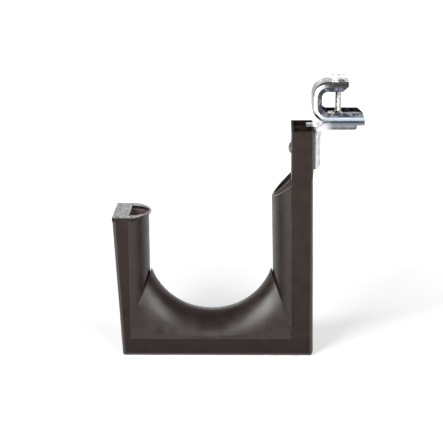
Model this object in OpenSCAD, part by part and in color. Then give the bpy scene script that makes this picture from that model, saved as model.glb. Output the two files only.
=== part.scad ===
// J hook cable support: a moulded hook with a flared saddle, riveted to a steel angle bracket
// that carries a swivelling beam clamp.
// Axes: X runs from the front post to the spine, Y is the depth along the cables, Z is up.
// Origin: on the base plane, below the middle of the saddle, at mid-depth.

/* [Hook] */
// Clear width between the two noses
mouth_w = 101.6; // [96:0.2:104]
// Depth of the hook along the cables
hook_depth = 50.8; // [48:0.2:54]
// Height of the spine
spine_h = 187.2; // [185:0.2:189]
// Thickness of the spine
spine_t = 16.8; // [15:0.2:18]
// Height of the front post
post_h = 116.8; // [110:0.2:120]
// Thickness of the front post at its top
post_top_t = 13.2; // [12:0.2:15]
// Outward lean of the front post's outer face, in degrees
post_lean = 3.2; // [3:0.1:5.5]
// Radius of the hook's outer edges
edge_r = 3; // [1:0.5:4]

/* [Saddle and noses] */
// Height of the flat base band
base_h = 14.6; // [13:0.1:16]
// Radius of the saddle's ridge
saddle_r = 52; // [51.5:0.1:56]
// Height of the ridge at its lowest point
saddle_low = 32.5; // [30:0.1:33]
// Radius of the rounded noses
nose_r = 28.5; // [27:0.5:30]
// How far the noses stand out from the posts
nose_out = 15; // [14:0.2:16]
// How far the saddle's two tips stand proud of the noses
tip_proud = 1.5; // [0.6:0.1:2]
// How quickly the saddle's sections open out towards the side faces
flare_power = 0.87; // [0.8:0.01:1.5]

/* [Steel bracket] */
// Width of the bracket
bracket_w = 28; // [24:1:30]
// Thickness of its sheet
bracket_t = 2; // [1.5:0.1:2.2]
// Height of its flanges, sheet included
bracket_flange = 5.4; // [5:0.1:6.4]
// Height of the horizontal leg's top face
bracket_top = 192.1; // [191.5:0.1:193]
// Reach of the horizontal leg along X
bracket_end = 124; // [123:0.5:126]

/* [Beam clamp] */
// Width of the clamp
clamp_w = 28; // [24:1:30]
// Thickness of its sheet
clamp_t = 3; // [2.5:0.1:3.2]
// Height of its flanges, sheet included
clamp_flange = 7.8; // [6.5:0.1:8]
// Overall height of the clamp
clamp_h = 32.7; // [31:0.1:34]
// Outer face of the clamp's back along X
clamp_back = 81.9; // [81.5:0.1:83]
// Reach of the upper jaw along X
upper_jaw_end = 111; // [110:0.5:113]
// Outer radius of the clamp's two bends
clamp_bend = 12.5; // [11:0.5:13.5]

/* [Screw and rivets] */
// Position along X of the swivel rivet
swivel_x = 100.6; // [100:0.1:102]
// Position along X of the clamp screw
screw_x = 103.1; // [102:0.1:104]
// Shank radius of the clamp screw
screw_r = 2.5; // [2.2:0.1:2.8]
// Width of its hexagon across flats
hex_af = 10; // [9.5:0.1:10.5]
// Height of its hexagon
hex_h = 4.8; // [4:0.1:5.5]
// Shank radius of the swivel rivet
swivel_r = 3.2; // [2.8:0.1:3.6]
// Head radius of the swivel rivet
swivel_head_r = 6.4; // [6:0.1:7]
// Height above the base of the bracket rivet
rivet_z = 169.5; // [167:0.5:172]
// Shank radius of the bracket rivet
rivet_r = 2.4; // [2:0.1:2.8]

/* [Hidden] */
$fn = 96;
eps = 0.01;
far = 400;
half = hook_depth / 2;
frame_x = mouth_w / 2 + nose_out;
nose_axis = mouth_w / 2 + nose_r;
spine_back = frame_x + spine_t;
// Raised pad on the spine's back, which the bracket bears on; below it the back drafts out to the heel
pad_t = 0.9;
pad_from = 149;
pad_full = 159;
face_x = spine_back + pad_t;
// Clearances round the rivets and the screw
rivet_gap = 0.1;
swivel_gap = 0.05;
screw_gap = 0.05;
plastic = [0.21, 0.18, 0.17];
zinc = [0.78, 0.80, 0.83];
bright = [0.88, 0.88, 0.87];

// ---- hook body ----

// Outer face of the front post at height z
function post_x(z) = -(frame_x + post_top_t) + (post_h - z) * tan(post_lean);

// Half-round profile shared with the noses: 1 on the ridge, 0 at the side faces
side_rise = sqrt(nose_r * nose_r - half * half);
function flare(y) = (sqrt(nose_r * nose_r - y * y) - side_rise) / (nose_r - side_rise);
function ridge_bend(y) = pow(max(0, flare(y)), flare_power) / saddle_r;
function saddle_z(x, y) = base_h + (saddle_low - base_h) * flare(y)
    + ridge_bend(y) * x * x / (1 + sqrt(1 - pow(ridge_bend(y) * x, 2)));
// Where the saddle ends inside the noses, proud of them at its tips and less so down the creases
function tip_share(y) = pow(max(0, flare(y)), 2);
function saddle_end(y) = nose_axis - sqrt(nose_r * nose_r - y * y) - tip_proud * tip_share(y);

saddle_cols = 24;
saddle_rows = 20;
saddle_over = 0.02;
tip_drop = [1.6, 4];
row_angle = asin((half + saddle_over) / nose_r);
col_angle = asin((mouth_w / 2 - tip_proud) / saddle_r);
function row_y(j) = nose_r * sin(row_angle * (2 * j / saddle_rows - 1));
function col(i) = sin(col_angle * (2 * i / saddle_cols - 1)) / sin(col_angle);

// One cross-section of the saddle at depth y: its arc, the two dropped ends and a flat bottom
function ring(y) = let (
    e = saddle_end(y),
    w = e + tip_drop[0],
    zw = saddle_z(e, y) - tip_drop[1] * tip_share(y)
) concat(
    [[-w, y, zw]],
    [for (i = [0:saddle_cols]) [e * col(i), y, saddle_z(e * col(i), y)]],
    [[w, y, zw]],
    [for (i = [saddle_cols:-1:0]) [w * col(i), y, base_h / 4]]
);

// The flared saddle: arcs that open out and drop from the ridge to the side faces
module saddle() {
    rings = [for (j = [0:saddle_rows]) ring(row_y(j))];
    n = len(rings[0]);
    last = saddle_rows * n;
    skin = [for (j = [0:saddle_rows - 1]) for (i = [0:n - 1]) let (k = (i + 1) % n, a = j * n, b = a + n)
        each [[a + i, b + k, a + k], [a + i, b + i, b + k]]];
    near = concat(
        [[0, 1, n - 1], [saddle_cols + 1, saddle_cols + 2, saddle_cols + 3]],
        [for (i = [1:saddle_cols]) each [[i, n - i - 1, n - i], [i, i + 1, n - i - 1]]]
    );
    back = [for (t = near) [last + t[0], last + t[2], last + t[1]]];
    polyhedron([for (r = rings) each r], concat(skin, near, back), convexity = 6);
}

// A bar's section, w wide and h deep, with its two outer edges rounded
module rounded_side(w, h, r) {
    translate([-w / 2, r]) square([w, h - r]);
    translate([-w / 2 + r, 0]) square([w - 2 * r, h]);
    for (side = [-1, 1]) translate([side * (w / 2 - r), r]) circle(r);
}

// What lies between two places along X and two heights, within a depth
module slab(x0, x1, z0, z1, depth = hook_depth) {
    translate([x0, -depth / 2, z0]) cube([x1 - x0, depth, z1 - z0]);
}

// What lies inside the front post's leaning outer face
module inside_lean(depth = hook_depth) {
    translate([post_x(0), 0, 0]) rotate([0, -post_lean, 0]) slab(0, far, -far / 2, far, depth);
}

// Side view of the post, base and spine, with rounded lower corners
foot_r = 3.4;
heel_r = 4.2;
foot_c = post_x(foot_r) + foot_r / cos(post_lean);

module frame_outline() {
    difference() {
        polygon([
            [post_x(post_h), post_h], [post_x(0), 0], [face_x, 0], [spine_back, pad_from],
            [face_x, pad_full], [face_x, spine_h], [frame_x, spine_h], [frame_x, base_h * 3 / 4],
            [-frame_x, base_h * 3 / 4], [-frame_x, post_h]
        ]);
        difference() {
            translate([post_x(0) - 1, -1]) square([foot_c - post_x(0) + 1, foot_r + 1]);
            translate([foot_c, foot_r]) circle(foot_r);
        }
        difference() {
            translate([face_x - heel_r, -1]) square([heel_r + 1, heel_r + 1]);
            translate([face_x - heel_r, heel_r]) circle(heel_r);
        }
    }
}

// What lies inside the side faces and the rounded outer edges of the base, spine and post
module rounded_edges() {
    intersection() {
        translate([-far / 2, 0, 0]) rotate([90, 0, 90]) linear_extrude(far) rounded_side(hook_depth, far, edge_r);
        translate([face_x, 0, -1]) rotate([0, 0, 90]) linear_extrude(far) rounded_side(hook_depth, far, edge_r);
        translate([post_x(0), 0, 0]) rotate([0, -post_lean, 0]) rotate([0, 0, -90])
            translate([0, 0, -far / 2]) linear_extrude(far) rounded_side(hook_depth, far, edge_r);
    }
}

lip_h = 3;
lip_out = 2;
lip_slope = 2;

// Half-round front nose with a lip round its top
module front_nose() {
    intersection() {
        translate([-nose_axis, 0, 0]) {
            cylinder(r = nose_r, h = post_h - lip_h);
            translate([0, 0, post_h - lip_h]) cylinder(r1 = nose_r, r2 = nose_r + lip_out, h = lip_slope);
            translate([0, 0, post_h - lip_h + lip_slope]) cylinder(r = nose_r + lip_out, h = lip_h - lip_slope);
        }
        slab(-frame_x - 1, 0, base_h / 2, post_h, far);
    }
}

// Square-edged rim round the closed part of the post's top
module post_rim() {
    intersection() {
        slab(-far, -frame_x, post_h - lip_h, post_h);
        inside_lean();
    }
}

// Half-round pocket in the top of the front nose
module front_pocket() {
    pocket_r = 15.3;
    pocket_wall = 1.6;
    pocket_depth = 74;
    intersection() {
        translate([-mouth_w / 2 - pocket_wall - pocket_r, 0, post_h]) {
            translate([0, 0, -pocket_depth]) cylinder(r = pocket_r, h = pocket_depth);
            translate([0, 0, -lip_h]) cylinder(r1 = pocket_r, r2 = pocket_r + lip_out, h = lip_slope);
            translate([0, 0, lip_slope - lip_h]) cylinder(r = pocket_r + lip_out, h = lip_h);
        }
        slab(-frame_x, 0, 0, far);
    }
}

// Half-round bar of the rear nose, leaning slightly into the mouth above the saddle's tip
rear_low = 130;
rear_high = 143.4;
rear_lean = 0.9;
lean_z = 72;

module rear_bar(r) {
    translate([nose_axis, 0, lean_z]) rotate([0, -rear_lean, 0]) translate([0, 0, -lean_z])
        cylinder(r = r, h = far / 2);
}

// Rear nose with its slanted top
module rear_nose() {
    slope = atan((rear_high - rear_low) / nose_out);
    intersection() {
        rear_bar(nose_r);
        slab(0, frame_x + 1, base_h / 2, far, far);
        translate([mouth_w / 2, 0, rear_low]) rotate([0, -slope, 0]) slab(-far / 2, far / 2, -far, 0, far);
    }
}

// Two pockets in the rear nose, either side of its centre web
module rear_pockets() {
    rim = 1.8;
    web = 1.6;
    pocket_floor = 76;
    difference() {
        intersection() {
            rear_bar(nose_r - rim);
            slab(0, frame_x, pocket_floor, far, hook_depth - 2 * rim);
        }
        slab(0, far, 0, far, web);
    }
}

// Two pockets in the spine's top, either side of its centre web, with a boss round the rivet
module spine_pockets() {
    wall = 1.8;
    web = 1.8;
    pocket_floor = 134;
    boss_r = 7;
    difference() {
        slab(frame_x + wall, face_x - wall, pocket_floor, far, hook_depth - 2 * wall);
        slab(0, far, 0, far, web);
        translate([0, 0, rivet_z]) rotate([0, 90, 0]) cylinder(r = boss_r, h = far);
    }
}

// Bays in the underside between cross ribs, either side of a centre web, below the saddle's ridge
bay_wall = 3;
bay_rib = 2;
bay_pitch = 23.8;
bay_first = -61.1;
bay_count = 5;
foot_bay_top = 64;

module bay(x0, x1, top) {
    difference() {
        slab(x0, x1, -1, top, hook_depth - 2 * bay_wall);
        slab(x0 - 1, x1 + 1, -2, top + 1, bay_rib);
    }
}

module underside_bays() {
    intersection() {
        for (i = [0:bay_count - 1])
            bay(bay_first + i * bay_pitch, bay_first + (i + 1) * bay_pitch - bay_rib, saddle_low);
        translate([0, 0, saddle_low - nose_r]) rotate([0, 90, 0])
            cylinder(r = nose_r - bay_wall, h = far, center = true);
    }
    bay(frame_x + bay_rib, spine_back - bay_wall, foot_bay_top);
}

// The spine's side faces step in a little beside the bracket
module side_steps() {
    step_z = 147.4;
    step_in = 0.3;
    for (side = [-1, 1]) translate([frame_x - eps, side > 0 ? half - step_in : -half - 1, step_z])
        cube([far, 1 + step_in, far]);
}

module hook_body() {
    color(plastic) difference() {
        union() {
            intersection() {
                union() {
                    rotate([90, 0, 0]) linear_extrude(hook_depth + 4, center = true) frame_outline();
                    saddle();
                    front_nose();
                    rear_nose();
                }
                rounded_edges();
            }
            post_rim();
        }
        front_pocket();
        rear_pockets();
        spine_pockets();
        underside_bays();
        side_steps();
        translate([0, 0, rivet_z]) rotate([0, 90, 0]) cylinder(r = rivet_r + rivet_gap, h = far);
    }
}

// ---- stamped channel sections ----

// Channel section: w wide, t thick, flanges h high, with rounded bends
module channel(w, t, h, bend) {
    difference() {
        intersection() {
            rounded_side(w, h + bend, bend);
            translate([-w / 2, 0]) square([w, h]);
        }
        translate([0, t]) rounded_side(w - 2 * t, h + bend, bend - t);
    }
}

// A straight run of channel along +X, flanges up
module channel_run(length, w, t, h, bend) {
    rotate([90, 0, 90]) linear_extrude(length) channel(w, t, h, bend);
}

// A quarter turn of channel, flanges inside, r to the outside of its web
module channel_bend(r, w, t, h, bend) {
    rotate([90, 0, 0]) rotate_extrude(angle = 90) translate([r, 0]) rotate([0, 0, 90]) channel(w, t, h, bend);
}

// ---- angle bracket ----

bracket_bend = 2.5;
bracket_turn = 11.5;
bracket_low = 154.2;
bracket_lead = 3.2;
bracket_flange_end = 118;

// Vertical leg, web towards the spine
module bracket_leg() {
    translate([face_x, 0, bracket_top - bracket_turn]) rotate([0, 90, 0])
        channel_run(bracket_top - bracket_turn - bracket_low, bracket_w, bracket_t, bracket_flange, bracket_bend);
}

// Horizontal leg, web on top
module bracket_arm() {
    translate([face_x + bracket_turn, 0, bracket_top]) rotate([180, 0, 0])
        channel_run(bracket_end - face_x - bracket_turn, bracket_w, bracket_t, bracket_flange, bracket_bend);
}

module bracket_corner() {
    translate([face_x + bracket_turn, 0, bracket_top - bracket_turn]) mirror([1, 0, 0])
        channel_bend(bracket_turn, bracket_w, bracket_t, bracket_flange, bracket_bend);
}

// Small locating tab that hooks over the spine's top edge
tab_w = 8;
tab_tip = 77.6;
tab_z = spine_h + 0.1;
tab_root = 87.4;
tab_slit = 0.3;
tab_window = 7;

module bracket_tab() {
    translate([tab_tip, -tab_w / 2, tab_z]) cube([tab_root - tab_tip, tab_w, bracket_t]);
}

module angle_bracket() {
    flange_z = bracket_top - bracket_flange;
    corner_r = 2.5;
    color(zinc) difference() {
        union() {
            bracket_leg();
            bracket_corner();
            bracket_arm();
            bracket_tab();
        }
        // Flange ends: cut on a slant below the leg, rounded at the arm
        rotate([90, 0, 0]) linear_extrude(far, center = true) {
            polygon([
                [face_x + bracket_t, bracket_low - 1], [face_x + bracket_t, bracket_low],
                [face_x + bracket_flange, bracket_low + bracket_lead], [face_x + far, bracket_low + bracket_lead],
                [face_x + far, bracket_low - 1]
            ]);
            translate([bracket_flange_end, flange_z - 1]) square([far, bracket_flange - bracket_t + 1]);
            difference() {
                translate([bracket_flange_end - corner_r, flange_z - 1]) square([corner_r + 1, corner_r + 1]);
                translate([bracket_flange_end - corner_r, flange_z + corner_r]) circle(corner_r);
            }
        }
        // Window that the tab is lanced from
        translate([face_x - 1, -tab_w / 2 - tab_slit, tab_z - tab_window])
            cube([bracket_turn, tab_w + 2 * tab_slit, tab_window]);
        translate([0, 0, rivet_z]) rotate([0, 90, 0]) cylinder(r = rivet_r + rivet_gap, h = far);
        translate([swivel_x, 0, 0]) cylinder(r = swivel_r + rivet_gap, h = far);
    }
}

// Bracket rivet: domed head on the spine's inner face, set head on the bracket
module rivet_head(r, h) {
    dome_r = (r * r + h * h) / (2 * h);
    rotate_extrude() intersection() {
        translate([0, h - dome_r]) circle(dome_r);
        square([r, h]);
    }
}

module bracket_rivet() {
    head_r = 5;
    head_h = 2.6;
    set_r = 4.4;
    set_h = 1.8;
    color(bright) translate([0, 0, rivet_z]) {
        translate([frame_x, 0, 0]) rotate([0, -90, 0]) rivet_head(head_r, head_h);
        translate([frame_x, 0, 0]) rotate([0, 90, 0]) cylinder(r = rivet_r, h = face_x + bracket_t - frame_x);
        translate([face_x + bracket_t, 0, 0]) rotate([0, 90, 0]) rivet_head(set_r, set_h);
    }
}

// ---- beam clamp ----

clamp_gap = 0.2;
clamp_low = bracket_top + clamp_gap;
clamp_top = clamp_low + clamp_h;
clamp_edge = 3.6;
jaw_cut_x = 4.8;
jaw_cut_z = 3.6;

module clamp_run(length) {
    channel_run(length, clamp_w, clamp_t, clamp_flange, clamp_edge);
}

module clamp_turn() {
    channel_bend(clamp_bend, clamp_w, clamp_t, clamp_flange, clamp_edge);
}

// Slanted cut of a jaw's flange end, from the end of its web
module jaw_cut() {
    polygon([
        [-jaw_cut_x, clamp_flange], [eps, jaw_cut_z], [1, jaw_cut_z], [1, clamp_flange + 1],
        [-jaw_cut_x, clamp_flange + 1]
    ]);
}

// C-shaped channel with its flanges inside, a through hole for the swivel and a hole for the screw
module beam_clamp() {
    bend_x = clamp_back + clamp_bend;
    color(zinc) difference() {
        union() {
            translate([bend_x, 0, clamp_low]) clamp_run(bracket_end - bend_x);
            translate([bend_x, 0, clamp_low + clamp_bend]) mirror([1, 0, 0]) mirror([0, 0, 1]) clamp_turn();
            translate([clamp_back, 0, clamp_top - clamp_bend]) rotate([0, 90, 0]) clamp_run(clamp_h - 2 * clamp_bend);
            translate([bend_x, 0, clamp_top - clamp_bend]) mirror([1, 0, 0]) clamp_turn();
            translate([bend_x, 0, clamp_top]) rotate([180, 0, 0]) clamp_run(upper_jaw_end - bend_x);
        }
        rotate([90, 0, 0]) linear_extrude(far, center = true) {
            translate([bracket_end, clamp_low]) jaw_cut();
            translate([upper_jaw_end, clamp_top]) mirror([0, 1]) jaw_cut();
        }
        translate([swivel_x, 0, 0]) cylinder(r = swivel_r + swivel_gap, h = clamp_low + clamp_h / 2);
        translate([screw_x, 0, clamp_low + clamp_h / 2]) cylinder(r = screw_r + screw_gap, h = far);
    }
}

// Swivel rivet: deep round head inside the clamp, set head under the bracket
swivel_head_z = clamp_low + clamp_t + clamp_gap;
swivel_head_h = 3.2;

module swivel_rivet() {
    chamfer = 0.6;
    set_r = 5.4;
    set_h = 2;
    color(bright) translate([swivel_x, 0, 0]) {
        translate([0, 0, swivel_head_z]) {
            cylinder(r = swivel_head_r, h = swivel_head_h - chamfer);
            translate([0, 0, swivel_head_h - chamfer])
                cylinder(r1 = swivel_head_r, r2 = swivel_head_r - chamfer, h = chamfer);
        }
        translate([0, 0, bracket_top - bracket_t]) cylinder(r = swivel_r, h = swivel_head_z - bracket_top + bracket_t);
        translate([0, 0, bracket_top - bracket_t]) mirror([0, 0, 1]) rivet_head(set_r, set_h);
    }
}

// Clamp screw: hexagon head seated on the upper jaw, plain shank down to the swivel rivet
module clamp_screw() {
    tip_gap = 0.3;
    seat_gap = 0.1;
    tip_chamfer = 0.8;
    head_z = clamp_top + seat_gap;
    tip_z = swivel_head_z + swivel_head_h + tip_gap;
    color(bright) translate([screw_x, 0, 0]) {
        translate([0, 0, tip_z]) cylinder(r1 = screw_r - tip_chamfer, r2 = screw_r, h = tip_chamfer);
        translate([0, 0, tip_z + tip_chamfer]) cylinder(r = screw_r, h = head_z - tip_z - tip_chamfer);
        intersection() {
            translate([0, 0, head_z]) rotate([0, 0, 30]) cylinder(r = hex_af / 2 / cos(30), h = hex_h, $fn = 6);
            // Turned-off upper corners of the hexagon
            translate([0, 0, head_z]) cylinder(r1 = hex_af / 2 + hex_h, r2 = hex_af / 2, h = hex_h);
        }
    }
}

hook_body();
angle_bracket();
bracket_rivet();
beam_clamp();
swivel_rivet();
clamp_screw();
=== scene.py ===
import bpy
import math
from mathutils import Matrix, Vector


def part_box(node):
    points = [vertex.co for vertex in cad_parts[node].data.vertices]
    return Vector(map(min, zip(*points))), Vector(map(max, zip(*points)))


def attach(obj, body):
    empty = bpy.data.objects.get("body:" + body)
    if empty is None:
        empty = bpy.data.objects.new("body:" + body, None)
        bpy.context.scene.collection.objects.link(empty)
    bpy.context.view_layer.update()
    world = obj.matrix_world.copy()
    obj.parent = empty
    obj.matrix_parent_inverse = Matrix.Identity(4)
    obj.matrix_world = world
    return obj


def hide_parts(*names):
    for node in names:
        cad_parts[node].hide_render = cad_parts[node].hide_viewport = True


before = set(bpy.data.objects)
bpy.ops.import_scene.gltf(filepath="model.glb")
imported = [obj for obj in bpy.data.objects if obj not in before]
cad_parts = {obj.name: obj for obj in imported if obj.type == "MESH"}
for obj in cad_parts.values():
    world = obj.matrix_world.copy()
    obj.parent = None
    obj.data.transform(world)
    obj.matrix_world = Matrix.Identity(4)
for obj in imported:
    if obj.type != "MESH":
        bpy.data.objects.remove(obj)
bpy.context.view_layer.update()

mm = 0.001
scene = bpy.context.scene
print("frame loaded:", sorted(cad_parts))


# picking, selecting and finishing, used by every piece

def deselectAll():
    if bpy.context.object and bpy.context.object.mode != "OBJECT":
        bpy.ops.object.mode_set(mode="OBJECT")
    bpy.ops.object.select_all(action="DESELECT")


def pickUp(*pieces):
    deselectAll()
    for piece in pieces:
        piece.select_set(True)
    bpy.context.view_layer.objects.active = pieces[0]


def editAll(piece):
    pickUp(piece)
    bpy.ops.object.mode_set(mode="EDIT")
    bpy.ops.mesh.select_all(action="SELECT")


def leaveEdit():
    bpy.ops.object.mode_set(mode="OBJECT")


def bakePlace(piece):
    # the place goes into the mesh, so the object stands at the origin
    pickUp(piece)
    bpy.ops.object.transform_apply(location=True, rotation=True, scale=True)


def weld(piece, distance=2e-6):
    editAll(piece)
    bpy.ops.mesh.remove_doubles(threshold=distance)
    bpy.ops.mesh.normals_make_consistent(inside=False)
    leaveEdit()


def applyModifier(piece, modifier):
    pickUp(piece)
    bpy.ops.object.modifier_apply(modifier=modifier.name)


def softenEdges(piece, width, segments, angle, edgeSlot=-1):
    bevel = piece.modifiers.new("softEdges", "BEVEL")
    bevel.width = width
    bevel.segments = segments
    bevel.limit_method = "ANGLE"
    bevel.angle_limit = math.radians(angle)
    bevel.use_clamp_overlap = True
    bevel.miter_outer = "MITER_ARC"
    bevel.material = edgeSlot
    applyModifier(piece, bevel)


def shadeSmooth(piece, angle):
    pickUp(piece)
    bpy.ops.object.shade_smooth_by_angle(angle=math.radians(angle))
    flat = piece.modifiers.new("flatFaces", "WEIGHTED_NORMAL")
    flat.keep_sharp = True
    applyModifier(piece, flat)


def mergedCopy(nodeName, newName):
    # a welded copy of a solid from the frame, its flat triangles joined again
    piece = bpy.data.objects.new(newName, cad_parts[nodeName].data.copy())
    scene.collection.objects.link(piece)
    editAll(piece)
    bpy.ops.mesh.customdata_custom_splitnormals_clear()
    bpy.ops.mesh.remove_doubles(threshold=2e-6)
    bpy.ops.mesh.dissolve_limited(angle_limit=math.radians(0.4))
    leaveEdit()
    return piece


def drawOutline(name, points):
    # a plane melted to one corner, then drawn out point by point
    deselectAll()
    bpy.ops.mesh.primitive_plane_add(size=mm, location=points[0])
    piece = bpy.context.object
    piece.name = name
    bpy.ops.object.transform_apply(location=True, rotation=True, scale=True)
    editAll(piece)
    bpy.ops.mesh.select_mode(type="VERT")
    bpy.ops.mesh.merge(type="CENTER")
    for last, point in zip(points, points[1:]):
        step = [b - a for a, b in zip(last, point)]
        bpy.ops.mesh.extrude_vertices_move(TRANSFORM_OT_translate={"value": step})
    leaveEdit()
    return piece


def turnOutline(name, outline, centre, axis, steps):
    # outline is (radius, height) along the axis, turned into a closed round piece
    if axis == "Z":
        points = [(centre[0] + radius, centre[1], centre[2] + height) for radius, height in outline]
    else:
        points = [(centre[0] + height, centre[1], centre[2] + radius) for radius, height in outline]
    piece = drawOutline(name, points)
    editAll(piece)
    direction = (0, 0, 1) if axis == "Z" else (1, 0, 0)
    bpy.ops.mesh.spin(steps=steps, angle=math.tau, center=centre, axis=direction)
    leaveEdit()
    weld(piece)
    return piece


def domePoints(radius, height, base, up, count=8):
    # quarter outline of a round head, from its top down to its rim
    ball = (radius ** 2 + height ** 2) / (2 * height)
    spread = math.asin(radius / ball)
    angles = [spread * i / count for i in range(count + 1)]
    return [(ball * math.sin(a), base + up * (height - ball + ball * math.cos(a))) for a in angles]


def dress(piece, materials, body, nodeName):
    piece.data.materials.clear()
    for material in materials:
        piece.data.materials.append(material)
    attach(piece, body)
    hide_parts(nodeName)
    print(piece.name + ":", len(piece.data.polygons), "faces")


# material nodes

def newMaterial(name):
    material = bpy.data.materials.new(name)
    material.use_nodes = True
    tree = material.node_tree
    coords = tree.nodes.new("ShaderNodeTexCoord")
    return material, tree, tree.nodes["Principled BSDF"], coords.outputs["Object"]


def noise(tree, coords, scale, detail=3.0, roughness=0.5, distortion=0.0):
    node = tree.nodes.new("ShaderNodeTexNoise")
    node.inputs["Scale"].default_value = scale
    node.inputs["Detail"].default_value = detail
    node.inputs["Roughness"].default_value = roughness
    node.inputs["Distortion"].default_value = distortion
    tree.links.new(coords, node.inputs["Vector"])
    return node.outputs["Fac"]


def stretched(tree, coords, scale):
    node = tree.nodes.new("ShaderNodeMapping")
    node.inputs["Scale"].default_value = scale
    tree.links.new(coords, node.inputs["Vector"])
    return node.outputs["Vector"]


def axes(tree, coords):
    node = tree.nodes.new("ShaderNodeSeparateXYZ")
    tree.links.new(coords, node.inputs["Vector"])
    return node.outputs["X"], node.outputs["Y"], node.outputs["Z"]


def maths(tree, operation, first, second=None):
    node = tree.nodes.new("ShaderNodeMath")
    node.operation = operation
    for socket, value in zip(node.inputs, (first, second)):
        if isinstance(value, (int, float)):
            socket.default_value = value
        elif value is not None:
            tree.links.new(value, socket)
    return node.outputs["Value"]


def fade(tree, value, start, end, low=0.0, high=1.0):
    # low before start, high after end, with a soft step between them
    node = tree.nodes.new("ShaderNodeMapRange")
    node.interpolation_type = "SMOOTHSTEP"
    node.inputs["From Min"].default_value = start
    node.inputs["From Max"].default_value = end
    node.inputs["To Min"].default_value = low
    node.inputs["To Max"].default_value = high
    tree.links.new(value, node.inputs["Value"])
    return node.outputs["Result"]


def mixColour(tree, factor, first, second):
    node = tree.nodes.new("ShaderNodeMix")
    node.data_type = "RGBA"
    tree.links.new(factor, node.inputs["Factor"])
    for socket, colour in ((node.inputs[6], first), (node.inputs[7], second)):
        if isinstance(colour, tuple):
            socket.default_value = (*colour, 1)
        else:
            tree.links.new(colour, socket)
    return node.outputs[2]


def mixValue(tree, factor, first, second):
    node = tree.nodes.new("ShaderNodeMix")
    tree.links.new(factor, node.inputs["Factor"])
    for socket, value in ((node.inputs[2], first), (node.inputs[3], second)):
        if isinstance(value, (int, float)):
            socket.default_value = value
        else:
            tree.links.new(value, socket)
    return node.outputs[0]


def bump(tree, height, strength, distance, under=None):
    node = tree.nodes.new("ShaderNodeBump")
    node.inputs["Strength"].default_value = strength
    node.inputs["Distance"].default_value = distance
    tree.links.new(height, node.inputs["Height"])
    if under:
        tree.links.new(under, node.inputs["Normal"])
    return node.outputs["Normal"]


# camera

cameraSetup = {
    "place": (0.04335, -1.19106, 0.4190),
    "turn": (76.873, 0.3887, 1.5643),  # degrees
    "lens": 121.9,
    "sensor": 36,
    "shiftY": -0.0903,
}

bpy.ops.object.camera_add(location=cameraSetup["place"])
camera = bpy.context.object
camera.name = "camera"
camera.rotation_euler = [math.radians(angle) for angle in cameraSetup["turn"]]
camera.data.lens = cameraSetup["lens"]
camera.data.sensor_width = cameraSetup["sensor"]
camera.data.shift_y = cameraSetup["shiftY"]
camera.data.clip_start = 0.01
camera.data.clip_end = 60
scene.camera = camera

# studio: a white sweep behind, a dimmer room above and in front, two soft boxes

studio = {
    "ambient": 0.20,
    "roomLevel": 0.22,
    "floorSize": 16,
    "floorColour": 0.86,
    "floorGlow": 0.30,
    "farGlow": 0.90,
    "glowFrom": 0.15,
    "glowTo": 0.8,
    "leftBox": {"azimuth": -37, "rise": 29, "distance": 1.26, "size": (0.76, 0.52), "watts": 19},
    "rightBox": {"azimuth": 37, "rise": 29, "distance": 1.26, "size": (0.76, 0.52), "watts": 11.5},
    "rearStrip": {"azimuth": 186, "rise": 14, "distance": 2.1, "size": (1.2, 0.24), "watts": 1.9},
    "aim": (0, 0, 0.07),
}


def seenDirectly(tree):
    # 1 for what the camera, a gloss or a glass ray sees, 0 for light that falls on things
    path = tree.nodes.new("ShaderNodeLightPath")
    gloss = maths(tree, "MAXIMUM", path.outputs["Is Camera Ray"], path.outputs["Is Glossy Ray"])
    return maths(tree, "MAXIMUM", gloss, path.outputs["Is Transmission Ray"])


def makeWorld():
    world = bpy.data.worlds.new("studio")
    scene.world = world
    world.use_nodes = True
    tree = world.node_tree
    tree.nodes.clear()
    path = tree.nodes.new("ShaderNodeLightPath")
    coords = tree.nodes.new("ShaderNodeTexCoord")
    across, back, up = axes(tree, coords.outputs["Generated"])
    sweep = maths(tree, "MULTIPLY", fade(tree, back, -0.1, 0.35), fade(tree, up, 0.34, 0.62, 1, 0))
    level = maths(tree, "MAXIMUM", sweep, path.outputs["Is Camera Ray"])
    backdrop = tree.nodes.new("ShaderNodeBackground")
    tree.links.new(fade(tree, level, 0, 1, studio["roomLevel"], 1), backdrop.inputs["Strength"])
    ambient = tree.nodes.new("ShaderNodeBackground")
    ambient.inputs["Strength"].default_value = studio["ambient"]
    for node in (backdrop, ambient):
        node.inputs["Color"].default_value = (1, 1, 1, 1)
    mixed = tree.nodes.new("ShaderNodeMixShader")
    tree.links.new(seenDirectly(tree), mixed.inputs["Fac"])
    tree.links.new(ambient.outputs[0], mixed.inputs[1])
    tree.links.new(backdrop.outputs[0], mixed.inputs[2])
    output = tree.nodes.new("ShaderNodeOutputWorld")
    tree.links.new(mixed.outputs[0], output.inputs["Surface"])


def makeFloorPaint():
    material = bpy.data.materials.new("floorPaint")
    material.use_nodes = True
    tree = material.node_tree
    tree.nodes.clear()
    coords = tree.nodes.new("ShaderNodeTexCoord")
    distance = tree.nodes.new("ShaderNodeVectorMath")
    distance.operation = "LENGTH"
    tree.links.new(coords.outputs["Object"], distance.inputs[0])
    away = fade(tree, distance.outputs["Value"], studio["glowFrom"], studio["glowTo"],
                studio["floorGlow"], studio["farGlow"])
    matt = tree.nodes.new("ShaderNodeBsdfDiffuse")
    matt.inputs["Color"].default_value = (*[studio["floorColour"]] * 3, 1)
    glow = tree.nodes.new("ShaderNodeEmission")
    tree.links.new(maths(tree, "MULTIPLY", seenDirectly(tree), away), glow.inputs["Strength"])
    both = tree.nodes.new("ShaderNodeAddShader")
    tree.links.new(matt.outputs[0], both.inputs[0])
    tree.links.new(glow.outputs[0], both.inputs[1])
    output = tree.nodes.new("ShaderNodeOutputMaterial")
    tree.links.new(both.outputs[0], output.inputs["Surface"])
    return material


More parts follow.
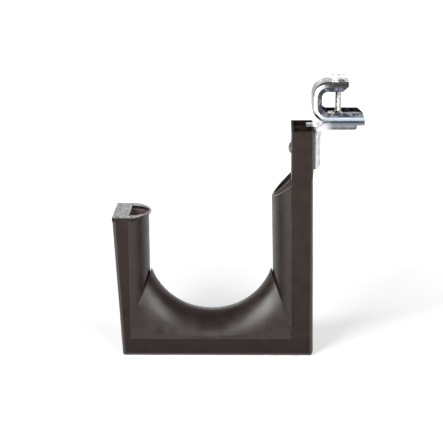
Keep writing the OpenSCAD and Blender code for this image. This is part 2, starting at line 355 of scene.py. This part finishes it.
def softBox(name, azimuth, rise, distance, size, watts):
    # azimuth is counted from the camera's side, towards +X, and rise from the floor up, in degrees
    turn = math.radians(azimuth)
    lift = math.radians(rise)
    level = distance * math.cos(lift)
    place = [
        studio["aim"][0] + level * math.sin(turn),
        studio["aim"][1] - level * math.cos(turn),
        studio["aim"][2] + distance * math.sin(lift),
    ]
    deselectAll()
    bpy.ops.object.light_add(type="AREA", location=place)
    lamp = bpy.context.object
    lamp.name = name
    lamp.data.shape = "RECTANGLE"
    lamp.data.size, lamp.data.size_y = size
    lamp.data.energy = watts
    lamp.rotation_euler = (math.pi / 2 - lift, 0, turn)


makeWorld()
deselectAll()
bpy.ops.mesh.primitive_plane_add(size=studio["floorSize"], location=(0, 0, 0))
floor = bpy.context.object
floor.name = "floor"
floor.data.materials.append(makeFloorPaint())
for boxName in ("leftBox", "rightBox", "rearStrip"):
    softBox(boxName, **studio[boxName])
print("camera, floor and lamps set")


# hook: dark brown moulding, satin on its faces, its saddle a little glossier

hookShape = {
    "edge": 0.45 * mm,
    "segments": 3,
    "edgeAngle": 28,
    "smoothAngle": 35,
    "noseRadius": 28.5 * mm,
    "noseAxis": 79.3 * mm,
    "tipHeight": 76 * mm,
    "halfDepth": 25.4 * mm,
    "pocketAxis": 67.7 * mm,
}

hookPaint = {
    "brown": (0.0110, 0.0056, 0.0042),
    "brownLight": (0.0165, 0.0092, 0.0070),
    "pocketBrown": (0.085, 0.066, 0.060),
    "faceGloss": 0.20,
    "saddleGloss": 0.45,
    "edgeGloss": 0.7,
    "roughLow": 0.34,
    "roughHigh": 0.42,
    "spineTopRough": 0.85,
    "postTopRough": (0.20, 0.33),
    "blotch": 90,
    "grain": 1400,
    "grainDepth": 0.03 * mm,
    "bandTop": 14.6 * mm,
    "ribPitch": 23.8 * mm,
    "ribFirst": -37.3 * mm,
    "ribWidth": 1.0 * mm,
    "ribTop": 24 * mm,
    "markDepth": 0.12 * mm,
    "postTop": 116.8 * mm,
}


def aroundAxis(tree, x, y, axisX):
    # distance from an upright axis
    across = maths(tree, "POWER", maths(tree, "SUBTRACT", x, axisX), 2)
    return maths(tree, "SQRT", maths(tree, "ADD", across, maths(tree, "MULTIPLY", y, y)))


def makeHookPlastic(name, gloss):
    material, tree, shader, coords = newMaterial(name)
    shader.inputs["Specular IOR Level"].default_value = gloss
    x, y, z = axes(tree, coords)
    blotches = noise(tree, coords, hookPaint["blotch"], 4)
    shade = fade(tree, blotches, 0.35, 0.65)
    colour = mixColour(tree, shade, hookPaint["brown"], hookPaint["brownLight"])

    # sink marks of the ribs below the saddle, and the witness line above the base band
    ribPlace = maths(tree, "DIVIDE", maths(tree, "SUBTRACT", x, hookPaint["ribFirst"]), hookPaint["ribPitch"])
    fromRib = maths(tree, "ABSOLUTE", maths(tree, "SUBTRACT", ribPlace, maths(tree, "ROUND", ribPlace)))
    halfRib = hookPaint["ribWidth"] / hookPaint["ribPitch"]
    rib = maths(tree, "MULTIPLY", fade(tree, fromRib, 0, halfRib, 0.35, 0),
                fade(tree, z, hookPaint["ribTop"] - 6 * mm, hookPaint["ribTop"], 1, 0))
    band = fade(tree, z, hookPaint["bandTop"] - 0.4 * mm, hookPaint["bandTop"] + 0.2 * mm, 0.3, 0)
    darker = maths(tree, "MAXIMUM", rib, band)
    darkBrown = tuple(0.55 * part for part in hookPaint["brown"])
    colour = mixColour(tree, darker, colour, darkBrown)

    # paler walls inside the two noses' pockets
    rearWall = aroundAxis(tree, x, y, hookShape["noseAxis"])
    frontWall = aroundAxis(tree, x, y, -hookShape["pocketAxis"])
    rear = maths(tree, "MULTIPLY", fade(tree, rearWall, 27.9 * mm, 28.2 * mm, 1, 0),
                 fade(tree, x, 65.2 * mm, 65.6 * mm, 1, 0))
    front = maths(tree, "MULTIPLY", fade(tree, frontWall, 16.0 * mm, 16.3 * mm, 1, 0),
                  fade(tree, x, -66.4 * mm, -66.0 * mm))
    inside = maths(tree, "MAXIMUM", rear, front)
    inside = maths(tree, "MULTIPLY", inside, fade(tree, z, hookShape["tipHeight"], hookShape["tipHeight"] + 1 * mm))
    inside = maths(tree, "MULTIPLY", inside, fade(tree, z, 143 * mm, 144 * mm, 1, 0))
    tree.links.new(mixColour(tree, inside, colour, hookPaint["pocketBrown"]), shader.inputs["Base Color"])

    # the post's top is polished by use, the spine's cut top edges are dull
    low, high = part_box("hook_body")
    rough = fade(tree, blotches, 0.3, 0.7, hookPaint["roughLow"], hookPaint["roughHigh"])
    spineTop = fade(tree, z, high[2] - 1.2 * mm, high[2] - 0.6 * mm)
    rough = mixValue(tree, spineTop, rough, hookPaint["spineTopRough"])
    postTop = maths(tree, "MULTIPLY", fade(tree, z, hookPaint["postTop"] - 0.4 * mm, hookPaint["postTop"] - 0.2 * mm),
                    fade(tree, x, 0, 10 * mm, 1, 0))
    worn = fade(tree, noise(tree, coords, 330, 2), 0.42, 0.62, *hookPaint["postTopRough"])
    rough = mixValue(tree, postTop, rough, worn)
    tree.links.new(rough, shader.inputs["Roughness"])

    grain = noise(tree, coords, hookPaint["grain"], 2)
    marks = bump(tree, maths(tree, "SUBTRACT", 1, darker), 0.6, hookPaint["markDepth"])
    tree.links.new(bump(tree, grain, 0.25, hookPaint["grainDepth"], marks), shader.inputs["Normal"])
    return material


def isPolished(face):
    # the trumpet between the noses, above the base band, and the round faces of the noses
    x, y, z = face.center
    across = max(0, hookShape["noseRadius"] ** 2 - y ** 2)
    nose = hookShape["noseAxis"] - math.sqrt(across)
    inMouth = abs(x) < nose + 0.2 * mm and abs(y) < hookShape["halfDepth"] - 0.02 * mm
    return inMouth and hookPaint["bandTop"] - 0.3 * mm < z


def isRounded(face):
    # the long rounded edges down the outside of the post, base and spine
    x, y, z = face.center
    outside = abs(x) > hookShape["noseAxis"] - 18 * mm or z < hookPaint["bandTop"]
    slanted = max(abs(part) for part in face.normal) < 0.985
    return outside and slanted and abs(y) > hookShape["halfDepth"] - 4 * mm


hook = mergedCopy("hook_body", "hookMoulding")
softenEdges(hook, hookShape["edge"], hookShape["segments"], hookShape["edgeAngle"])
shadeSmooth(hook, hookShape["smoothAngle"])
plastics = [
    makeHookPlastic("hookPlastic", hookPaint["faceGloss"]),
    makeHookPlastic("saddlePlastic", hookPaint["saddleGloss"]),
    makeHookPlastic("edgePlastic", hookPaint["edgeGloss"]),
]
dress(hook, plastics, "hook", "hook_body")
for face in hook.data.polygons:
    if isPolished(face):
        face.material_index = 1
    elif isRounded(face):
        face.material_index = 2


# zinc-plated sheet, with painted reflections in its colour: painted dark reflection on the sides, painted pale
# reflection on the rolled bends, and a grey web

zincPaint = {
    # side, rim, webTop and the dull grey are painted reflection; sideLight is the plating's own mottle
    "side": (0.036, 0.038, 0.052),
    "sideLight": (0.30, 0.31, 0.37),
    "tealTintAndReflection": (0.38, 0.47, 0.51),
    "paleBendReflection": (0.66, 0.67, 0.70),
    "rim": (0.36, 0.36, 0.38),
    "webTop": (0.115, 0.12, 0.12),
    "dull": (0.070, 0.069, 0.075),
    "leg": (0.50, 0.505, 0.52),
    "legBendHighlight": (0.95, 0.95, 0.97),
    "arm": (0.15, 0.155, 0.175),
    "armFootShade": (0.045, 0.045, 0.048),
    "tab": (0.22, 0.21, 0.21),
    "roughLow": 0.22,
    "roughHigh": 0.38,
    "mottle": 210,
    "clampTurn": 12.5 * mm,
    "rolledWidth": 4.3 * mm,
}

sheetShape = {"edge": 0.25 * mm, "segments": 2, "edgeAngle": 40, "smoothAngle": 35}


def finishZinc(tree, shader, coords, colour, bright):
    # mottled sheen that every plated sheet shares
    mottle = noise(tree, coords, zincPaint["mottle"], 3, 0.5, 0.6)
    patches = maths(tree, "MULTIPLY", fade(tree, mottle, 0.46, 0.66), bright)
    lighter = mixColour(tree, patches, colour, zincPaint["sideLight"])
    tree.links.new(lighter, shader.inputs["Base Color"])
    tree.links.new(fade(tree, mottle, 0.3, 0.7, zincPaint["roughLow"], zincPaint["roughHigh"]),
                   shader.inputs["Roughness"])
    wave = noise(tree, coords, 180, 2)
    tree.links.new(bump(tree, wave, 0.2, 0.15 * mm), shader.inputs["Normal"])


def makeClampZinc():
    material, tree, shader, coords = newMaterial("clampZinc")
    shader.inputs["Metallic"].default_value = 1
    low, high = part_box("beam_clamp")
    x, y, z = axes(tree, coords)
    turn = zincPaint["clampTurn"]

    # how far in from the C's outer outline, the same along its jaws, back and bends
    backwards = maths(tree, "MAXIMUM", maths(tree, "SUBTRACT", low[0] + turn, x), 0)
    above = maths(tree, "SUBTRACT", z, high[2] - turn)
    below = maths(tree, "SUBTRACT", low[2] + turn, z)
    outwards = maths(tree, "MAXIMUM", maths(tree, "MAXIMUM", above, below), 0)
    reach = maths(tree, "SQRT", maths(tree, "ADD", maths(tree, "POWER", backwards, 2), maths(tree, "POWER", outwards, 2)))
    inwards = maths(tree, "SUBTRACT", turn, reach)

    # painted reflection on the web: lighter near the C's back, darker along the jaws
    web = mixColour(tree, fade(tree, x, low[0] + 8 * mm, low[0] + 22 * mm), zincPaint["webTop"], zincPaint["dull"])
    behind = fade(tree, x, low[0] + 6 * mm, low[0] + 15 * mm, 1, 0)
    # painted reflection on the rolled bends: pale round the back, dull grey along the jaws, a mid grey at their outer
    # rim
    rolled = mixColour(tree, behind, zincPaint["dull"], zincPaint["paleBendReflection"])
    rolled = mixColour(tree, fade(tree, inwards, 0.9 * mm, 1.9 * mm, 1, 0), rolled, zincPaint["rim"])
    # the lower jaw's bend: the plating's blue tint, lightened as a painted bright reflection
    lowJaw = maths(tree, "MULTIPLY", fade(tree, z, low[2] + 4.6 * mm, low[2] + 6.5 * mm, 1, 0),
                   fade(tree, x, low[0] + 6 * mm, low[0] + 14 * mm))
    rolled = mixColour(tree, lowJaw, rolled, zincPaint["tealTintAndReflection"])
    # the flat sides inside the rolled bends take the side colour, a painted dark reflection
    bend = fade(tree, maths(tree, "ABSOLUTE", y), high[1] - 4.0 * mm, high[1] - 3.0 * mm)
    side = fade(tree, inwards, zincPaint["rolledWidth"] - 0.3 * mm, zincPaint["rolledWidth"] + 0.3 * mm)
    colour = mixColour(tree, bend, web, rolled)
    colour = mixColour(tree, maths(tree, "MULTIPLY", side, bend), colour, zincPaint["side"])
    finishZinc(tree, shader, coords, colour, maths(tree, "MULTIPLY", side, 0.5))
    return material


def makeBracketZinc():
    material, tree, shader, coords = newMaterial("bracketZinc")
    shader.inputs["Metallic"].default_value = 0.35
    low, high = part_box("angle_bracket")
    x, y, z = axes(tree, coords)
    # painted shade: the arm's face lighter at its top and darker down to its foot
    armSide = fade(tree, z, high[2] - 4.8 * mm, high[2] - 2.0 * mm)
    arm = mixColour(tree, armSide, zincPaint["armFootShade"], zincPaint["arm"])
    onArm = fade(tree, x, low[0] + 14 * mm, low[0] + 22 * mm)
    # painted reflection on the leg: mid grey, with a painted highlight on its bend beside the spine, where the spine
    # shades it
    leg = mixColour(tree, fade(tree, x, low[0] + 7.6 * mm, low[0] + 9.4 * mm), zincPaint["legBendHighlight"], zincPaint["leg"])
    colour = mixColour(tree, onArm, leg, arm)
    colour = mixColour(tree, fade(tree, x, low[0] + 4.9 * mm, low[0] + 5.8 * mm, 1, 0), colour, zincPaint["tab"])
    finishZinc(tree, shader, coords, colour, 0.15)
    return material


def plateSheet(nodeName, newName, material, body):
    piece = mergedCopy(nodeName, newName)
    softenEdges(piece, sheetShape["edge"], sheetShape["segments"], sheetShape["edgeAngle"])
    shadeSmooth(piece, sheetShape["smoothAngle"])
    dress(piece, [material], body, nodeName)


plateSheet("angle_bracket", "angleBracket", makeBracketZinc(), "hook")
plateSheet("beam_clamp", "beamClamp", makeClampZinc(), "clamp")


# bright steel of the rivets and the screw

brightPaint = {
    "light": (0.84, 0.84, 0.82),
    "grey": (0.60, 0.60, 0.59),
    "rivet": (0.22, 0.22, 0.22),
    # edge: a painted shade on the screw head's rounded edges, and a darker random tone in the rivets
    "edge": (0.16, 0.16, 0.16),
    "spots": 500,
    "roughLow": 0.22,
    "roughHigh": 0.36,
}


def makeBright(name, light, grey):
    material, tree, shader, coords = newMaterial(name)
    shader.inputs["Metallic"].default_value = 1
    spots = noise(tree, coords, brightPaint["spots"], 3)
    tree.links.new(mixColour(tree, spots, grey, light), shader.inputs["Base Color"])
    tree.links.new(fade(tree, spots, 0.3, 0.7, brightPaint["roughLow"], brightPaint["roughHigh"]),
                   shader.inputs["Roughness"])
    return material


brightZinc = makeBright("brightZinc", brightPaint["light"], brightPaint["grey"])
rivetZinc = makeBright("rivetZinc", brightPaint["rivet"], brightPaint["edge"])
# painted shade for the rounded edges of the screw's hexagon, in place of their darker reflection
paintedEdgeShade = makeBright("paintedEdgeShade", brightPaint["grey"], brightPaint["edge"])

# rivets: turned outlines with a round head, a shank and a set head

rivetShape = {"steps": 48, "rim": 0.3 * mm, "smoothAngle": 40}


def bracketRivet():
    low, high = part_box("bracket_rivet")
    middle = (low[2] + high[2]) / 2
    headRadius = (high[2] - low[2]) / 2
    spineFace = low[0] + 2.6 * mm
    sheetFace = high[0] - 1.8 * mm
    outline = domePoints(headRadius, 2.3 * mm, -rivetShape["rim"], -1)
    outline += [(headRadius, 0), (2.4 * mm, 0), (2.4 * mm, sheetFace - spineFace)]
    outline += domePoints(4.4 * mm, 1.8 * mm, sheetFace - spineFace, 1)[::-1]
    piece = turnOutline("bracketRivet", outline, (spineFace, 0, middle), "X", rivetShape["steps"])
    shadeSmooth(piece, rivetShape["smoothAngle"])
    dress(piece, [rivetZinc], "hook", "bracket_rivet")


def swivelRivet():
    low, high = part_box("swivel_rivet")
    centre = ((low[0] + high[0]) / 2, 0, low[2])
    radius = (high[0] - low[0]) / 2
    top = high[2] - low[2]
    headFoot = top - 3.2 * mm
    outline = domePoints(5.4 * mm, 2.0 * mm, 2.0 * mm, -1)
    outline += [(3.2 * mm, 2.0 * mm), (3.2 * mm, headFoot), (radius - 0.2 * mm, headFoot)]
    outline += [(radius, headFoot + 0.2 * mm), (radius, top - 0.6 * mm), (radius - 0.6 * mm, top)]
    outline += [(2.4 * mm, top), (1.9 * mm, top - 0.5 * mm), (0, top - 0.6 * mm)]
    piece = turnOutline("swivelRivet", outline, centre, "Z", rivetShape["steps"])
    shadeSmooth(piece, 30)
    dress(piece, [rivetZinc], "hook", "swivel_rivet")


bracketRivet()
swivelRivet()

# clamp screw: hexagon with turned corners on a rolled thread

screwShape = {
    "radius": 2.5 * mm,
    "pitch": 0.8 * mm,
    "threadDepth": 0.36 * mm,
    "steps": 32,
    "acrossFlats": 10 * mm,
    "headHeight": 4.8 * mm,
    "headEdge": 0.3 * mm,
    "tipLength": 0.8 * mm,
    "tipRadius": 1.7 * mm,
}


def bisectAt(piece, height, keepAbove):
    editAll(piece)
    bpy.ops.mesh.bisect(plane_co=(0, 0, height), plane_no=(0, 0, 1), use_fill=True,
                        clear_inner=keepAbove, clear_outer=not keepAbove)


def rolledThread(x, bottom, top):
    pitch = screwShape["pitch"]
    crest = screwShape["radius"]
    root = crest - screwShape["threadDepth"]
    turns = math.ceil((top - bottom) / pitch) + 2
    piece = drawOutline("clampThread", [(crest, 0, 0), (root, 0, pitch / 2), (crest, 0, pitch)])
    piece.location = (x, 0, bottom - 1.5 * pitch)
    thread = piece.modifiers.new("thread", "SCREW")
    thread.screw_offset = pitch
    thread.iterations = turns
    thread.steps = screwShape["steps"]
    thread.render_steps = screwShape["steps"]
    applyModifier(piece, thread)
    bakePlace(piece)
    weld(piece, 5e-6)
    bisectAt(piece, top, False)
    leaveEdit()
    bisectAt(piece, bottom, True)
    bpy.ops.mesh.extrude_region_move(TRANSFORM_OT_translate={"value": (0, 0, -screwShape["tipLength"])})
    narrow = screwShape["tipRadius"] / crest
    bpy.ops.transform.resize(value=(narrow, narrow, 1), center_override=(x, 0, bottom))
    leaveEdit()
    weld(piece)
    return piece


def hexagonHead(x, foot):
    height = screwShape["headHeight"]
    flat = screwShape["acrossFlats"] / 2
    middle = (x, 0, foot + height / 2)
    deselectAll()
    bpy.ops.mesh.primitive_cylinder_add(vertices=6, radius=flat / math.cos(math.pi / 6), depth=height, location=middle)
    head = bpy.context.object
    bakePlace(head)
    deselectAll()
    bpy.ops.mesh.primitive_cone_add(vertices=96, radius1=flat + height, radius2=flat, depth=height, location=middle)
    blank = bpy.context.object
    bakePlace(blank)
    turned = head.modifiers.new("turnedCorners", "BOOLEAN")
    turned.operation = "INTERSECT"
    turned.object = blank
    turned.solver = "EXACT"
    applyModifier(head, turned)
    bpy.data.objects.remove(blank)
    return head


def clampScrew():
    low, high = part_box("clamp_screw")
    x = (low[0] + high[0]) / 2
    foot = high[2] - screwShape["headHeight"]
    head = hexagonHead(x, foot)
    head.data.materials.append(brightZinc)
    head.data.materials.append(paintedEdgeShade)
    # the rounded edges get slot 1, the painted edge shade
    softenEdges(head, screwShape["headEdge"], 2, 40, 1)
    thread = rolledThread(x, low[2] + screwShape["tipLength"], foot + 0.5 * mm)
    joined = head.modifiers.new("oneScrew", "BOOLEAN")
    joined.operation = "UNION"
    joined.object = thread
    joined.solver = "EXACT"
    applyModifier(head, joined)
    bpy.data.objects.remove(thread)
    head.name = "clampScrew"
    shadeSmooth(head, 30)
    kept = [face.material_index for face in head.data.polygons]
    dress(head, [brightZinc, paintedEdgeShade], "screw", "clamp_screw")
    for face, index in zip(head.data.polygons, kept):
        face.material_index = index


clampScrew()

scene.view_settings.view_transform = "Standard"
